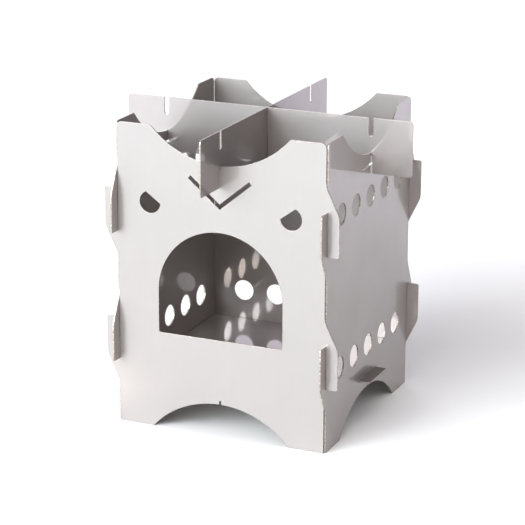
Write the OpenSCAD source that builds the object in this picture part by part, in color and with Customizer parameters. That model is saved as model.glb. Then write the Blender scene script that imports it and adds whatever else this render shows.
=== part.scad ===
// Flat-pack twig stove.
// Four stainless sheet panels hook into each other at the corners, a fire tray hangs between two
// of them, and two cross plates drop into the top as the pot support.
// The stove stands on its feet at z = 0, centred on the origin, with the door facing -Y.

/* [Fire box] */
// Width of the square box, from outer face to outer face
box_w = 130; // [124:1:160]
// Height of the four panels
box_h = 180; // [176:1:220]
// Thickness of the sheet that every piece is cut from
sheet_t = 0.8; // [0.6:0.1:1.5]
// Clearance on each side of a sheet that sits in a corner slit or in the slot of a lap
slit_gap = 0.1; // [0.05:0.05:0.25]

/* [Scallops] */
// Radius of the arc that is cut out of the top and the bottom edge of a panel
scallop_r = 57; // [54:0.5:64]
// Depth of that arc at the middle of the panel
scallop_d = 19.4; // [14:0.1:21]
// Depth of the notch at the middle of each arc
notch_d = 2.2; // [1:0.1:4]
// Clearance on each side of a cross plate in that notch
notch_gap = 0.25; // [0.1:0.05:0.5]
// Corner radius on the outer side of a horn
horn_outer_r = 3; // [1:0.5:5]
// Corner radius on the inner side of a horn
horn_inner_r = 2; // [1:0.5:4]
// Corner radius of a foot
foot_r = 1.2; // [0.5:0.1:2]

/* [Corner wings] */
// Reach of a wing past the outer face of the panel that it hooks into
wing_reach = 7.2; // [5:0.1:9]
// Depth of the slit in a wing, which is half of the lap of two panels
slit_d = 12.8; // [10:0.1:15]
// Length of a wing's straight outer edge past the end of its slit
wing_land = 10.3; // [7:0.1:12]
// Length of the slope that runs from the outer edge back to the panel
wing_slope = 16.7; // [12:0.1:19]
// Blend radius at both ends of that slope
slope_r = 12; // [6:0.5:14]
// Corner radius at the square end of a wing
wing_tip_r = 1.2; // [0.5:0.1:2]
// Height between the lower and the upper lap of a corner
lap_pitch = 77.2; // [74:0.1:82]

/* [Door] */
// Width of the door opening
door_w = 77.2; // [60:0.2:80]
// Height of the door opening, which is centred between the top and the bottom of its panel
door_h = 63.8; // [50:0.2:68]
// Corner radius at both ends of the sill
sill_r = 1.2; // [0.5:0.1:3]

/* [Vents] */
// Diameter of a round vent
vent_dia = 13; // [10:0.5:16]
// Distance between neighbouring vents in a row
vent_pitch = 22; // [20:0.5:23]
// Number of vents in a row
vent_count = 5; // [1:2:5]
// Height of the two rows of vents above and below the middle of a panel
vent_row_z = 45; // [40:0.5:48]
// Distance from the middle of the front panel to the centre of a half-moon vent
moon_u = 43.5; // [30:0.5:52]
// Distance from the centre of a half-moon vent to its straight side
moon_flat = 3.4; // [1:0.1:5]
// Tilt of the straight side of a half-moon vent
moon_tilt = 35.5; // [0:0.5:60]
// Width of the V-shaped slot
vee_w = 2.4; // [1.5:0.1:4]
// Depth of the V-shaped slot's point below the middle of the scallop
vee_drop = 23.7; // [19:0.1:26]
// Reach of each arm of the V-shaped slot to the side
vee_reach = 18.8; // [12:0.1:24]
// Rise of each arm of the V-shaped slot
vee_rise = 15.6; // [8:0.1:17]

/* [Fire tray] */
// Height of the underside of the fire tray above the ground
tray_z = 25.9; // [23:0.1:30]
// Clearance between the edges of the tray and the inner faces of the panels
tray_gap = 0.4; // [0.2:0.1:1]
// Width of the tab at each end of the tray
tab_w = 27.2; // [20:0.1:36]
// Reach of a tab past the outer face of its panel
tab_reach = 6.6; // [4:0.1:8]
// Corner radius of a tab
tab_r = 1; // [0.5:0.1:3]
// Clearance between the sides of a tab and the ends of its slot
tab_side_gap = 0.7; // [0.3:0.1:1.5]
// Clearance above and below a tab in its slot
tab_gap = 0.4; // [0.1:0.05:0.5]

/* [Cross plates] */
// Length of a cross plate
cross_length = 180; // [170:1:190]
// Height of a cross plate
cross_h = 32.4; // [28:0.1:38]
// Corner radius at the ends of a cross plate
cross_r = 2.2; // [1:0.1:4]
// Depth of the slots that sit on the panels
seat_d = 10.2; // [7:0.1:13]
// Clearance on each side of a panel in those slots
seat_gap = 0.7; // [0.2:0.1:1]
// Width of the open slots in the top edge
rod_slot_w = 3; // [2:0.1:4]
// Depth of the open slots in the top edge
rod_slot_d = 10.6; // [7:0.1:12]

/* [Hidden] */
$fn = 96;

// A cutting shape runs this far past the edge that it opens
past = 1;

face_y = box_w / 2;
edge_u = face_y - sheet_t - slit_gap;
wing_u = face_y + wing_reach;
mid_z = box_h / 2;
lap_heights = [mid_z - lap_pitch / 2, mid_z + lap_pitch / 2];
slit_w = sheet_t + 2 * slit_gap;
notch_w = sheet_t + 2 * notch_gap;

scallop_top_z = box_h - scallop_d + scallop_r;
notch_floor_z = box_h - scallop_d - notch_d;

vent_first_u = -vent_pitch * (vent_count - 1) / 2;
vee_z = box_h - scallop_d - vee_drop;
door_r = door_w / 2;
door_sill = mid_z - door_h / 2;
door_arch_z = door_sill + door_h - door_r;

tray_half = face_y - sheet_t - tray_gap;
tab_end = face_y + tab_reach;
tab_slot_w = tab_w + 2 * tab_side_gap;

cross_base_z = notch_floor_z - seat_d;
seat_u = face_y - sheet_t / 2;
seat_w = sheet_t + 2 * seat_gap;

steel = "gainsboro";
bright_steel = "whitesmoke";
dark_steel = "darkgray";

function unit(v) = v / norm(v);

// The tip that lies outside a round corner: it is bounded by the two edges that run from the corner
// towards a and b, and by the arc of radius r that touches both of them
module corner_tip(corner, a, b, r) {
    to_a = unit(a - corner);
    to_b = unit(b - corner);
    half_angle = acos(to_a * to_b) / 2;
    run = r / tan(half_angle);
    centre = corner + unit(to_a + to_b) * r / sin(half_angle);
    difference() {
        polygon([corner, corner + to_a * run, centre, corner + to_b * run]);
        translate(centre)
            circle(r = r);
    }
}

// One wing, for the right-hand edge of a panel, with the end of its slit at height zero.
// Its square end points down, and its slope runs up and back to the panel's edge.
module wing() {
    low_in = [edge_u - past, -slit_d];
    low_out = [wing_u, -slit_d];
    bend_out = [wing_u, wing_land];
    bend_in = [edge_u, wing_land + wing_slope];
    high_in = [edge_u, wing_land + 2 * wing_slope];
    difference() {
        polygon([low_in, low_out, bend_out, bend_in, [edge_u - past, bend_in[1]]]);
        corner_tip(low_out, low_in, bend_out, wing_tip_r);
        corner_tip(bend_out, low_out, bend_in, slope_r);
        translate([edge_u, -slit_d - past])
            square([slit_w, slit_d + past]);
    }
    corner_tip(bend_in, bend_out, high_in, slope_r);
}

// Both wings of one lap: the right one has its slit open below, the left one has it open above
module lap_wings() {
    wing();
    rotate(180)
        wing();
}

// The tip outside a round corner between the arc of a scallop and the straight end of a horn
module horn_inner_tip() {
    centre_z = box_h - horn_inner_r;
    centre_u = sqrt((scallop_r + horn_inner_r) ^ 2 - (scallop_top_z - centre_z) ^ 2);
    corner_u = sqrt(scallop_r ^ 2 - (scallop_top_z - box_h) ^ 2);
    difference() {
        polygon([[centre_u, box_h], [corner_u, box_h], [0, scallop_top_z], [centre_u, centre_z]]);
        translate([centre_u, centre_z])
            circle(r = horn_inner_r);
    }
}

// The cut-outs of the top edge of a panel
module scallop_cut() {
    translate([0, scallop_top_z])
        circle(r = scallop_r);
    translate([-notch_w / 2, notch_floor_z])
        square([notch_w, box_h - notch_floor_z]);
}

// The outline that all four panels share
module panel_outline() {
    top_right = [edge_u, box_h];
    difference() {
        union() {
            translate([-edge_u, 0])
                square([2 * edge_u, box_h]);
            for (z = lap_heights)
                translate([0, z])
                    lap_wings();
        }
        scallop_cut();
        translate([0, box_h])
            mirror([0, 1])
                scallop_cut();
        for (side = [0, 1])
            mirror([side, 0]) {
                corner_tip(top_right, [0, box_h], [edge_u, 0], horn_outer_r);
                horn_inner_tip();
                corner_tip([edge_u, 0], [0, 0], top_right, foot_r);
            }
    }
}

// The door: a straight-sided opening with a round arch
module door_cut() {
    sill_left = [-door_r, door_sill];
    sill_right = [door_r, door_sill];
    difference() {
        union() {
            translate(sill_left)
                square([door_w, door_arch_z - door_sill]);
            intersection() {
                translate([0, door_arch_z])
                    circle(r = door_r);
                translate(sill_left)
                    square([door_w, door_h]);
            }
        }
        for (side = [0, 1])
            mirror([side, 0])
                corner_tip(sill_right, sill_left, [door_r, door_arch_z], sill_r);
    }
}

// A half-moon vent: the disc of a round vent below a straight side that leans towards the middle
module half_moon_cut() {
    translate([-moon_u, mid_z + vent_row_z])
        rotate(-moon_tilt)
            difference() {
                circle(d = vent_dia);
                translate([-vent_dia, moon_flat])
                    square([2 * vent_dia, vent_dia]);
            }
}

// The V-shaped slot, with a mitred point and square ends
module vee_cut() {
    arm_angle = atan(vee_rise / vee_reach);
    half_w = vee_w / 2;
    mitre = half_w / cos(arm_angle);
    end_z = vee_z + vee_rise;
    end_u = half_w * sin(arm_angle);
    end_lift = half_w * cos(arm_angle);
    polygon([[0, vee_z - mitre],
             [vee_reach + end_u, end_z - end_lift],
             [vee_reach - end_u, end_z + end_lift],
             [0, vee_z + mitre],
             [-vee_reach + end_u, end_z + end_lift],
             [-vee_reach - end_u, end_z - end_lift]]);
}

// A row of round vents at height z
module vent_row(z) {
    for (i = [0:vent_count - 1])
        translate([vent_first_u + i * vent_pitch, z])
            circle(d = vent_dia);
}

// A slot that takes a tab of the fire tray, whose underside is at height z
module tab_slot(z) {
    translate([-tab_slot_w / 2, z - tab_gap])
        square([tab_slot_w, sheet_t + 2 * tab_gap]);
}

// Stands a flat outline up as the wall on the given side: 0 front, 1 right, 2 back, 3 left
module wall(side) {
    rotate(90 * side)
        translate([0, sheet_t - face_y, 0])
            rotate([90, 0, 0])
                linear_extrude(sheet_t)
                    children();
}

module vented_outline(with_tab_slots) {
    difference() {
        panel_outline();
        vent_row(mid_z - vent_row_z);
        vent_row(mid_z + vent_row_z);
        if (with_tab_slots) {
            tab_slot(tray_z);
            tab_slot(box_h - tray_z - sheet_t);
        }
    }
}

module front_panel() {
    color(bright_steel)
        wall(0)
            difference() {
                panel_outline();
                door_cut();
                half_moon_cut();
                mirror([1, 0])
                    half_moon_cut();
                vee_cut();
            }
}

module right_panel() {
    color(steel)
        wall(1)
            vented_outline(true);
}

module back_panel() {
    color(steel)
        wall(2)
            vented_outline(false);
}

module left_panel() {
    color(steel)
        wall(3)
            vented_outline(true);
}

// The fire tray: a flat sheet with a tab through the left and the right panel
module fire_tray() {
    color(dark_steel)
        translate([0, 0, tray_z])
            linear_extrude(sheet_t)
                difference() {
                    union() {
                        square(2 * tray_half, center = true);
                        square([2 * tab_end, tab_w], center = true);
                    }
                    for (end = [0, 1], side = [0, 1])
                        mirror([end, 0])
                            mirror([0, side])
                                corner_tip([tab_end, tab_w / 2], [0, tab_w / 2], [tab_end, 0], tab_r);
                }
}

// The outline of a cross plate, with its underside at height zero: seat slots below,
// rod slots above them, and the slot where the two plates lap
module cross_outline(lap_open_above) {
    lap_d = cross_h / 2;
    half_l = cross_length / 2;
    difference() {
        translate([-half_l, 0])
            square([cross_length, cross_h]);
        for (end = [0, 1])
            mirror([end, 0]) {
                translate([seat_u - seat_w / 2, -past])
                    square([seat_w, seat_d + past]);
                translate([seat_u - rod_slot_w / 2, cross_h - rod_slot_d + rod_slot_w / 2])
                    square([rod_slot_w, rod_slot_d]);
                translate([seat_u, cross_h - rod_slot_d + rod_slot_w / 2])
                    circle(d = rod_slot_w);
                corner_tip([half_l, 0], [0, 0], [half_l, cross_h], cross_r);
                corner_tip([half_l, cross_h], [0, cross_h], [half_l, 0], cross_r);
            }
        translate([-slit_w / 2, lap_open_above ? lap_d : -past])
            square([slit_w, lap_d + past]);
    }
}

// Stands the outline of a cross plate up along the X axis, at its height in the stove
module cross_wall() {
    translate([0, sheet_t / 2, cross_base_z])
        rotate([90, 0, 0])
            linear_extrude(sheet_t)
                children();
}

// The first plate runs from front to back and has its lap slot open above
module cross_plate_front_back() {
    color(dark_steel)
        rotate(90)
            cross_wall()
                cross_outline(true);
}

// The second plate runs from left to right and drops over the first one
module cross_plate_left_right() {
    color(steel)
        cross_wall()
            cross_outline(false);
}

front_panel();
right_panel();
back_panel();
left_panel();
fire_tray();
cross_plate_front_back();
cross_plate_left_right();
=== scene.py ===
"""Twig stove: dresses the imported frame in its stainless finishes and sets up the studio."""

import math

import bmesh
import bpy
import numpy as np
from mathutils import Matrix, Vector


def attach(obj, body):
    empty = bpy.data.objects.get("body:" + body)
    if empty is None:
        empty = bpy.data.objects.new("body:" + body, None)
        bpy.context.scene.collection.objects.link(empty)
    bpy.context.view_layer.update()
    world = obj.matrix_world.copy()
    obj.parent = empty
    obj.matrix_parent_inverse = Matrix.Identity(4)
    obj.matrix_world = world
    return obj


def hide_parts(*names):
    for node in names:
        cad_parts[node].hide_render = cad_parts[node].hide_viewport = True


bl_info = {
    "name": "Twig stove",
    "version": (1, 0, 0),
    "blender": (4, 5, 0),
    "location": "3D View > Sidebar > Twig stove",
    "description": "Finishes a flat-pack stainless twig stove and lights it in a plain studio",
    "category": "Object",
}

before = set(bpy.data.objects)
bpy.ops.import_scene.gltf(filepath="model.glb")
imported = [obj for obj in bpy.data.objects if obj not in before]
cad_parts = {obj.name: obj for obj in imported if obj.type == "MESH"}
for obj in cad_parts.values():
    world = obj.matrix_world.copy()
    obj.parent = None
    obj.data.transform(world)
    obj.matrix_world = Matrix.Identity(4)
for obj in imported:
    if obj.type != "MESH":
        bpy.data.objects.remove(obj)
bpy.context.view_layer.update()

MM = 0.001
X_AXIS, Y_AXIS, Z_AXIS = 0, 1, 2

# The sheets: CAD node, name of the dressed piece, body, axis across the sheet, axis of the rolling grain
WALLS = (
    ("front_panel", "front_wall", "fire_box", Y_AXIS, Z_AXIS),
    ("right_panel", "right_wall", "fire_box", X_AXIS, Z_AXIS),
    ("back_panel", "back_wall", "fire_box", Y_AXIS, Z_AXIS),
    ("left_panel", "left_wall", "fire_box", X_AXIS, Z_AXIS),
)
TRAY = (("fire_tray", "tray_sheet", "fire_box", Z_AXIS, X_AXIS),)
CROSS_PLATES = (
    ("cross_plate_front_back", "pot_plate_front_back", "first_cross_plate", X_AXIS, Y_AXIS),
    ("cross_plate_left_right", "pot_plate_left_right", "second_cross_plate", Y_AXIS, X_AXIS),
)

# The soft lights: name, turn from straight in front, height above the horizon and width of the disc,
# all in degrees as seen from the stove, then how bright the disc looks, and its colour
SOFT_LIGHTS = (
    ("key_softbox", -20, 14, 45, 8.1, "#EEFCFF"),
    ("upper_softbox", -15, 30, 40, 4.9, "#FCFCFF"),
    ("side_softbox", -35, 32, 40, 3.9, "#FAFCFF"),
    ("left_softbox", -45, 15, 40, 2.8, "#F0F8FF"),
    ("front_reflector", 10, 12, 25, 4.7, "#FFF2E2"),
    ("high_fill", 60, 60, 60, 2.2, "#FFFDFF"),
    ("back_light", -150, 30, 50, 2.1, "#F2F2FF"),
)

# Spots that light only the floor: name, place and aim in metres, full cone in degrees, watts, colour
FLOOR_SPOTS = (
    ("backdrop_spot", (0.57, 1.28, 1.5), (0.51, 1.15, 0), 62, 90, "#E0D8FF"),
    ("floor_accent", (-0.6, -0.5, 0.7), (-0.13, -0.11, 0), 6, 110, "#FCEFE0"),
)

# Vertices of the frame's loose triangles that are nearer than this are one vertex
SAME_POINT = 1e-6
# Triangles that meet at less than this angle are one flat face
FLAT_ANGLE = math.radians(0.1)
# A face this square to the sheet's axis is a rolled face
ROLLED_FACE = 0.9999
# Walls of the cut that meet at more than this angle keep a crisp edge between them
CRISP_ANGLE = math.radians(35)
# Strips of faces across the small round along a rim
ROUND_STRIPS = 2

# The grain that the rolls leave is some 0.03 mm wide, too fine to show, so it is drawn coarser
GRAIN_WIDTH = 1.2 * MM
GRAIN_LENGTH = 60 * MM
GRAIN_DEPTH = 0.0015 * MM
# Colour of the darkest and of the lightest grain, as shares of the sheet's own colour
DARK_GRAIN, LIGHT_GRAIN = 0.985, 1.015
# Long low waves that a flat sheet keeps from the rolls: they make straight reflections waver
WAVE_LENGTH = 60 * MM
WAVE_DEPTH = 0.12 * MM
# Cloudy patches of the finish, with the roughness of the clearest and of the dullest as shares of the mean
CLOUD_WIDTH = 40 * MM
CLEAR_CLOUD, DULL_CLOUD = 0.88, 1.14
# The part of the way from 0 to 1 that the clouds' noise really fills
CLOUD_NOISE = (0.3, 0.7)

# The ridges of a laser cut are 0.15 mm apart: they are drawn wider apart, so that they show
RIDGE_SPACING = 0.5 * MM
RIDGE_DEPTH = 0.03 * MM
# The heights between which the colour goes from the furrows' brown to the crests' bright steel
RIDGE_NOISE = (0.35, 0.65)
FURROW_ROUGHNESS, CREST_ROUGHNESS = 0.38, 0.55

# The studio: its paper floor, its surround, the lamp in each spot, and the camera's sensor in millimetres
PAPER_COLOUR = "#DBDADA"
FIBRE_WIDTH = 2 * MM
FIBRE_DEPTH = 0.1 * MM
SURROUND_COLOUR = "#FFFBFF"
LAMP_RADIUS = 20 * MM
SENSOR_WIDTH = 36


def hex_to_linear(hex_colour):
    """A linear RGB triple for an sRGB hex colour such as #C8C4C0."""
    parts = [int(hex_colour[i : i + 2], 16) / 255 for i in (1, 3, 5)]
    return tuple(c / 12.92 if c <= 0.04045 else ((c + 0.055) / 1.055) ** 2.4 for c in parts)


def rgba(colour):
    """The colour with full opacity, as a colour socket takes it."""
    return (*colour, 1.0)


def new_material(name):
    """A material with an empty node tree, and that tree."""
    material = bpy.data.materials.new(name)
    material.use_nodes = True
    material.node_tree.nodes.clear()
    return material, material.node_tree


def add_node(tree, kind, inputs=None, links=None, **settings):
    """Adds one node. Inputs are values and links are sockets, both by the name or number of the input,
    and settings are the node's own properties."""
    node = tree.nodes.new(kind)
    for name, value in settings.items():
        setattr(node, name, value)
    for key, value in (inputs or {}).items():
        node.inputs[key].default_value = value
    for key, socket in (links or {}).items():
        tree.links.new(socket, node.inputs[key])
    return node


class StoveSheetProps(bpy.types.PropertyGroup):
    """Rims, colours and gloss of the sheets"""

    edge_break: bpy.props.FloatProperty(
        name="Edge break",
        description="Width of the small round that deburring leaves along the edges of a rolled face",
        default=0.1 * MM, min=0.02 * MM, max=0.2 * MM, precision=5, unit="LENGTH",
    )
    wall_colour: bpy.props.FloatVectorProperty(
        name="Wall colour", description="Colour of the rolled faces of the four walls",
        default=hex_to_linear("#B0ABA9"), min=0, max=1, subtype="COLOR",
    )
    tray_colour: bpy.props.FloatVectorProperty(
        name="Tray colour", description="Colour of the rolled faces of the fire tray",
        default=hex_to_linear("#ABA4A3"), min=0, max=1, subtype="COLOR",
    )
    plate_colour: bpy.props.FloatVectorProperty(
        name="Cross plate colour", description="Colour of the rolled faces of the two cross plates",
        default=hex_to_linear("#AFA9A8"), min=0, max=1, subtype="COLOR",
    )
    crest_colour: bpy.props.FloatVectorProperty(
        name="Crest colour", description="Colour of the bright crests of the laser-cut edges",
        default=hex_to_linear("#CCC3BA"), min=0, max=1, subtype="COLOR",
    )
    heat_colour: bpy.props.FloatVectorProperty(
        name="Heat colour", description="Colour of the flecks that the heat leaves on the laser-cut edges",
        default=hex_to_linear("#6C5D51"), min=0, max=1, subtype="COLOR",
    )
    halo: bpy.props.FloatProperty(
        name="Halo", description="Share of the near-mirror reflection that glows round bright things",
        default=0.18, min=0, max=1, subtype="FACTOR",
    )
    haze: bpy.props.FloatProperty(
        name="Haze", description="Share of the whole reflection that the grain scatters widely",
        default=0.55, min=0, max=1, subtype="FACTOR",
    )
    mirror_roughness: bpy.props.FloatProperty(
        name="Mirror roughness", description="Roughness of the clear part of the reflection",
        default=0.05, min=0, max=1, subtype="FACTOR",
    )
    halo_roughness: bpy.props.FloatProperty(
        name="Halo roughness", description="Roughness of the part that glows round bright things",
        default=0.33, min=0, max=1, subtype="FACTOR",
    )
    haze_roughness: bpy.props.FloatProperty(
        name="Haze roughness", description="Roughness of the scattered part of the reflection",
        default=0.57, min=0, max=1, subtype="FACTOR",
    )


class StoveStudioProps(bpy.types.PropertyGroup):
    """Floor, lights and camera"""

    floor_size: bpy.props.FloatProperty(
        name="Floor size", description="Side of the square floor", default=16.0, min=1, unit="LENGTH",
    )
    surround_strength: bpy.props.FloatProperty(
        name="Surround strength", description="Brightness of the white room round the lights",
        default=0.1, min=0,
    )
    light_strength: bpy.props.FloatProperty(
        name="Light strength", description="Factor on the brightness of all the lights",
        default=1.0, min=0, max=10, subtype="FACTOR",
    )
    azimuth: bpy.props.FloatProperty(
        name="Camera azimuth", description="Turn of the camera round the stove, from straight in front",
        default=math.radians(24.02), subtype="ANGLE",
    )
    elevation: bpy.props.FloatProperty(
        name="Camera elevation", description="Angle of the camera above the horizon",
        default=math.radians(17.03), subtype="ANGLE",
    )
    roll: bpy.props.FloatProperty(
        name="Camera roll", description="Turn of the camera round its own line of sight",
        default=math.radians(0.17), subtype="ANGLE",
    )
    distance: bpy.props.FloatProperty(
        name="Camera distance", description="Distance from the camera to its target",
        default=1.2906, min=0.1, unit="LENGTH",
    )
    target: bpy.props.FloatVectorProperty(
        name="Camera target", description="Point that the middle of the picture shows",
        default=(-2.645 * MM, 0.0, 86.333 * MM), subtype="TRANSLATION", unit="LENGTH",
    )
    lens: bpy.props.FloatProperty(
        name="Lens", description=f"Focal length in millimetres on a sensor {SENSOR_WIDTH} mm wide",
        default=149.77, min=1,
    )


def rolled_steel(name, colour, grain_axis, props):
    """Stainless sheet such as type 304, cold rolled with a 2B finish: a clear but slightly soft mirror
    image, with a pale halo round bright things, because the grain scatters part of the light widely."""
    material, tree = new_material(name)
    place = add_node(tree, "ShaderNodeTexCoord").outputs["Object"]
    grain_scale = [1 / GRAIN_WIDTH] * 3
    grain_scale[grain_axis] = 1 / GRAIN_LENGTH
    grain_place = add_node(
        tree, "ShaderNodeMapping", {"Scale": grain_scale}, {"Vector": place}
    ).outputs["Vector"]
    grain = add_node(
        tree, "ShaderNodeTexNoise", {"Scale": 1.0, "Detail": 3.0, "Roughness": 0.6}, {"Vector": grain_place}
    ).outputs["Fac"]
    waves = add_node(
        tree, "ShaderNodeTexNoise", {"Scale": 1 / WAVE_LENGTH, "Detail": 1.0}, {"Vector": place}
    ).outputs["Fac"]
    clouds = add_node(
        tree, "ShaderNodeTexNoise", {"Scale": 1 / CLOUD_WIDTH, "Detail": 4.0}, {"Vector": place}
    ).outputs["Fac"]
    wavy = add_node(
        tree, "ShaderNodeBump", {"Strength": 1.0, "Distance": WAVE_DEPTH}, {"Height": waves}
    ).outputs["Normal"]
    grained = add_node(
        tree, "ShaderNodeBump", {"Strength": 1.0, "Distance": GRAIN_DEPTH}, {"Height": grain, "Normal": wavy}
    ).outputs["Normal"]
    dark = rgba([c * DARK_GRAIN for c in colour])
    light = rgba([c * LIGHT_GRAIN for c in colour])
    tone = add_node(
        tree, "ShaderNodeMix", {6: dark, 7: light}, {"Factor": grain}, data_type="RGBA"
    ).outputs[2]
    dulled = [
        add_node(
            tree, "ShaderNodeMapRange",
            {
                "From Min": CLOUD_NOISE[0], "From Max": CLOUD_NOISE[1],
                "To Min": level * CLEAR_CLOUD, "To Max": level * DULL_CLOUD,
            },
            {"Value": clouds},
        ).outputs["Result"]
        for level in (props.mirror_roughness, props.halo_roughness, props.haze_roughness)
    ]
    # The clear part stays first in the mix, because the export reads the first Principled node
    mirror, halo, haze = [
        add_node(
            tree, "ShaderNodeBsdfPrincipled", {"Metallic": 1.0},
            {"Base Color": tone, "Roughness": level, "Normal": grained},
        ).outputs["BSDF"]
        for level in dulled
    ]
    image = add_node(
        tree, "ShaderNodeMixShader", {"Fac": props.halo}, {1: mirror, 2: halo}
    ).outputs["Shader"]
    steel = add_node(
        tree, "ShaderNodeMixShader", {"Fac": props.haze}, {1: image, 2: haze}
    ).outputs["Shader"]
    add_node(tree, "ShaderNodeOutputMaterial", links={"Surface": steel})
    return material


def laser_cut_edge(name, thin_axis, props):
    """Laser-cut stainless edge: fine ridges that run straight through the sheet, with bright crests and
    brown flecks that the heat leaves in the furrows."""
    material, tree = new_material(name)
    place = add_node(tree, "ShaderNodeTexCoord").outputs["Object"]
    ridge_scale = [1 / RIDGE_SPACING] * 3
    ridge_scale[thin_axis] = 0.0
    ridge_place = add_node(
        tree, "ShaderNodeMapping", {"Scale": ridge_scale}, {"Vector": place}
    ).outputs["Vector"]
    ridges = add_node(
        tree, "ShaderNodeTexNoise", {"Scale": 1.0, "Detail": 2.0}, {"Vector": ridge_place}
    ).outputs["Fac"]
    ridged = add_node(
        tree, "ShaderNodeBump", {"Strength": 1.0, "Distance": RIDGE_DEPTH}, {"Height": ridges}
    ).outputs["Normal"]
    crests = add_node(
        tree, "ShaderNodeMapRange",
        {"From Min": RIDGE_NOISE[0], "From Max": RIDGE_NOISE[1]}, {"Value": ridges},
    ).outputs["Result"]
    tone = add_node(
        tree, "ShaderNodeMix",
        {6: rgba(props.heat_colour), 7: rgba(props.crest_colour)}, {"Factor": crests}, data_type="RGBA",
    ).outputs[2]
    rough = add_node(
        tree, "ShaderNodeMapRange",
        {"To Min": FURROW_ROUGHNESS, "To Max": CREST_ROUGHNESS}, {"Value": ridges},
    ).outputs["Result"]
    metal = add_node(
        tree, "ShaderNodeBsdfPrincipled", {"Metallic": 1.0},
        {"Base Color": tone, "Roughness": rough, "Normal": ridged},
    ).outputs["BSDF"]
    add_node(tree, "ShaderNodeOutputMaterial", links={"Surface": metal})
    return material


def cut_sheet(node, thin_axis, edge_break):
    """A copy of a flat CAD sheet, with its loose triangles merged into whole faces. Every rim between
    a rolled face and the cut wall is broken by a small round of the given width. Rolled faces get
    material 0 and stay flat; the cut wall and the rounds get material 1 and are smooth."""
    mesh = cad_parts[node].data.copy()
    mesh.materials.clear()
    work = bmesh.new()
    work.from_mesh(mesh)
    bmesh.ops.remove_doubles(work, verts=work.verts, dist=SAME_POINT)
    bmesh.ops.dissolve_limit(work, angle_limit=FLAT_ANGLE, verts=work.verts, edges=work.edges)
    work.normal_update()

    def rolled(face):
        return abs(face.normal[thin_axis]) > ROLLED_FACE

    rims = [e for e in work.edges if len({rolled(f) for f in e.link_faces}) == 2]
    bmesh.ops.bevel(
        work, geom=rims, offset=edge_break, offset_type="OFFSET", segments=ROUND_STRIPS, profile=0.5,
        affect="EDGES", clamp_overlap=True,
    )
    work.normal_update()
    for face in work.faces:
        face.material_index = 0 if rolled(face) else 1
        face.smooth = not rolled(face)
    for edge in work.edges:
        edge.smooth = len(edge.link_faces) == 2 and edge.calc_face_angle() < CRISP_ANGLE
    work.to_mesh(mesh)
    work.free()
    return mesh


def dress(sheets, colour, finish_name, props):
    """Adds the dressed piece of each sheet, in its place, and hides the CAD node that it stands for."""
    for node, piece_name, body, thin_axis, grain_axis in sheets:
        mesh = cut_sheet(node, thin_axis, props.edge_break)
        mesh.name = piece_name
        finish = f"{finish_name}_grain_{'xyz'[grain_axis]}"
        cut = f"laser_cut_edge_{'xyz'[thin_axis]}"
        mesh.materials.append(
            bpy.data.materials.get(finish) or rolled_steel(finish, colour, grain_axis, props)
        )
        mesh.materials.append(
            bpy.data.materials.get(cut) or laser_cut_edge(cut, thin_axis, props)
        )
        piece = bpy.data.objects.new(piece_name, mesh)
        bpy.context.scene.collection.objects.link(piece)
        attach(piece, body)
        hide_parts(node)


class STOVE_OT_walls(bpy.types.Operator):
    """Adds the four hooked walls"""

    bl_idname = "stove.walls"
    bl_label = "Walls"

    def execute(self, context):
        props = context.scene.stove_sheet
        dress(WALLS, props.wall_colour, "rolled_stainless_walls", props)
        return {"FINISHED"}


class STOVE_OT_tray(bpy.types.Operator):
    """Adds the fire tray"""

    bl_idname = "stove.tray"
    bl_label = "Fire tray"

    def execute(self, context):
        props = context.scene.stove_sheet
        dress(TRAY, props.tray_colour, "rolled_stainless_tray", props)
        return {"FINISHED"}


class STOVE_OT_cross_plates(bpy.types.Operator):
    """Adds the two crossed plates that a pot stands on"""

    bl_idname = "stove.cross_plates"
    bl_label = "Cross plates"

    def execute(self, context):
        props = context.scene.stove_sheet
        dress(CROSS_PLATES, props.plate_colour, "rolled_stainless_plates", props)
        return {"FINISHED"}


def matt_floor():
    """Matt white studio floor: seamless paper with fine fibres and no gloss."""
    material, tree = new_material("matt_white_paper")
    place = add_node(tree, "ShaderNodeTexCoord").outputs["Object"]
    fibres = add_node(
        tree, "ShaderNodeTexNoise", {"Scale": 1 / FIBRE_WIDTH}, {"Vector": place}
    ).outputs["Fac"]
    bumpy = add_node(
        tree, "ShaderNodeBump", {"Strength": 0.05, "Distance": FIBRE_DEPTH}, {"Height": fibres}
    ).outputs["Normal"]
    paper = add_node(
        tree, "ShaderNodeBsdfPrincipled",
        {"Base Color": rgba(hex_to_linear(PAPER_COLOUR)), "Roughness": 1.0, "Specular IOR Level": 0.0},
        {"Normal": bumpy},
    ).outputs["BSDF"]
    add_node(tree, "ShaderNodeOutputMaterial", links={"Surface": paper})
    return material


def lay_floor(scene, size):
    """Adds the floor: a square on the ground, whose corners are half its side out from the middle both
    ways."""
    half = size / 2
    mesh = bpy.data.meshes.new("studio_floor")
    corners = np.array([(-half, -half, 0), (half, -half, 0), (half, half, 0), (-half, half, 0)])
    mesh.from_pydata(corners.tolist(), [], [(0, 1, 2, 3)])
    mesh.materials.append(matt_floor())
    floor = bpy.data.objects.new("studio_floor", mesh)
    scene.collection.objects.link(floor)


def white_surround(scene, strength):
    """Puts the studio in a white room of even brightness."""
    world = bpy.data.worlds.new("white_surround")
    world.use_nodes = True
    tree = world.node_tree
    tree.nodes.clear()
    surround = add_node(
        tree, "ShaderNodeBackground",
        {"Color": rgba(hex_to_linear(SURROUND_COLOUR)), "Strength": strength},
    ).outputs["Background"]
    add_node(tree, "ShaderNodeOutputWorld", links={"Surface": surround})
    scene.world = world


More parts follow.
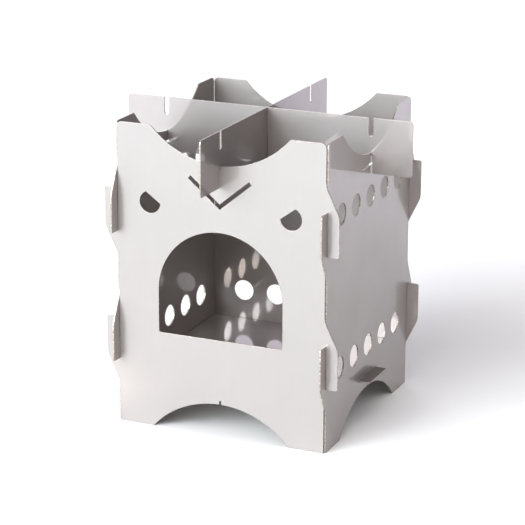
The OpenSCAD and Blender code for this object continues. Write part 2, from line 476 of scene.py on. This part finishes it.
def line_of_sight(turn, rise):
    """The direction towards the stove from a place turned to the right of straight in front, and raised:
    sideways by the sine of the turn and backwards by its cosine, both times the cosine of the rise, and
    down by the sine of the rise."""
    return Vector((-math.sin(turn) * math.cos(rise), math.cos(turn) * math.cos(rise), -math.sin(rise)))


def add_light(scene, name, kind, colour, direction, place=(0, 0, 0)):
    """Adds one light that stands at a place and shines in a direction, and returns its settings."""
    data = bpy.data.lights.new(name, kind)
    data.color = hex_to_linear(colour)
    light = bpy.data.objects.new(name, data)
    light.location = place
    light.rotation_euler = direction.to_track_quat("-Z", "Y").to_euler()
    scene.collection.objects.link(light)
    return data


def add_soft_lights(scene, strength):
    """Adds the soft lights: a sun with a wide disc lights like a softbox, but evenly over the whole
    floor. Its power is pi times the squared sine of half its width, times the brightness of its disc."""
    for name, turn, rise, width, brightness, colour in SOFT_LIGHTS:
        sun = add_light(scene, name, "SUN", colour, line_of_sight(math.radians(turn), math.radians(rise)))
        sun.angle = math.radians(width)
        sun.energy = math.pi * math.sin(sun.angle / 2) ** 2 * brightness * strength


def add_floor_spots(scene, strength):
    """Adds a wide spot on the floor behind the stove, and a narrow one on the floor before its left foot."""
    for name, place, aim, width, power, colour in FLOOR_SPOTS:
        spot = add_light(scene, name, "SPOT", colour, Vector(aim) - Vector(place), place)
        spot.energy = power * strength
        spot.spot_size = math.radians(width)
        spot.spot_blend = 1.0
        spot.shadow_soft_size = LAMP_RADIUS


def add_camera(scene, props):
    """Adds the camera: it stands back from the target by its distance, against its line of sight, and
    its level and upright directions are turned by the roll round that line."""
    data = bpy.data.cameras.new("photo_camera")
    data.sensor_width = SENSOR_WIDTH
    data.lens = props.lens
    camera = bpy.data.objects.new("photo_camera", data)
    forward = line_of_sight(props.azimuth, props.elevation)
    level = Vector((math.cos(props.azimuth), math.sin(props.azimuth), 0))
    upright = level.cross(forward)
    right = math.cos(props.roll) * level + math.sin(props.roll) * upright
    up = right.cross(forward)
    axes = Matrix((right, up, -forward)).transposed().to_4x4()
    camera.matrix_world = Matrix.Translation(Vector(props.target) - props.distance * forward) @ axes
    scene.collection.objects.link(camera)
    scene.camera = camera


class STOVE_OT_studio(bpy.types.Operator):
    """Adds the floor, the lights and the camera"""

    bl_idname = "stove.studio"
    bl_label = "Studio"

    def execute(self, context):
        scene = context.scene
        props = scene.stove_studio
        lay_floor(scene, props.floor_size)
        white_surround(scene, props.surround_strength)
        add_soft_lights(scene, props.light_strength)
        add_floor_spots(scene, props.light_strength)
        add_camera(scene, props)
        scene.view_settings.view_transform = "Standard"
        return {"FINISHED"}


class STOVE_PT_panel(bpy.types.Panel):
    """Lists the pieces of the stove and their settings"""

    bl_idname = "STOVE_PT_panel"
    bl_label = "Twig stove"
    bl_space_type = "VIEW_3D"
    bl_region_type = "UI"
    bl_category = "Twig stove"

    def draw(self, context):
        layout = self.layout
        for operator in OPERATORS:
            layout.operator(operator.bl_idname)
        for props in (context.scene.stove_sheet, context.scene.stove_studio):
            for name in props.bl_rna.properties.keys():
                if name not in ("rna_type", "name"):
                    layout.prop(props, name)


OPERATORS = (STOVE_OT_walls, STOVE_OT_tray, STOVE_OT_cross_plates, STOVE_OT_studio)
CLASSES = (StoveSheetProps, StoveStudioProps, *OPERATORS, STOVE_PT_panel)


def register():
    for cls in CLASSES:
        bpy.utils.register_class(cls)
    bpy.types.Scene.stove_sheet = bpy.props.PointerProperty(type=StoveSheetProps)
    bpy.types.Scene.stove_studio = bpy.props.PointerProperty(type=StoveStudioProps)


def unregister():
    del bpy.types.Scene.stove_studio
    del bpy.types.Scene.stove_sheet
    for cls in reversed(CLASSES):
        bpy.utils.unregister_class(cls)


def main():
    register()
    bpy.ops.stove.walls()
    bpy.ops.stove.tray()
    bpy.ops.stove.cross_plates()
    bpy.ops.stove.studio()


if __name__ == "__main__":
    main()
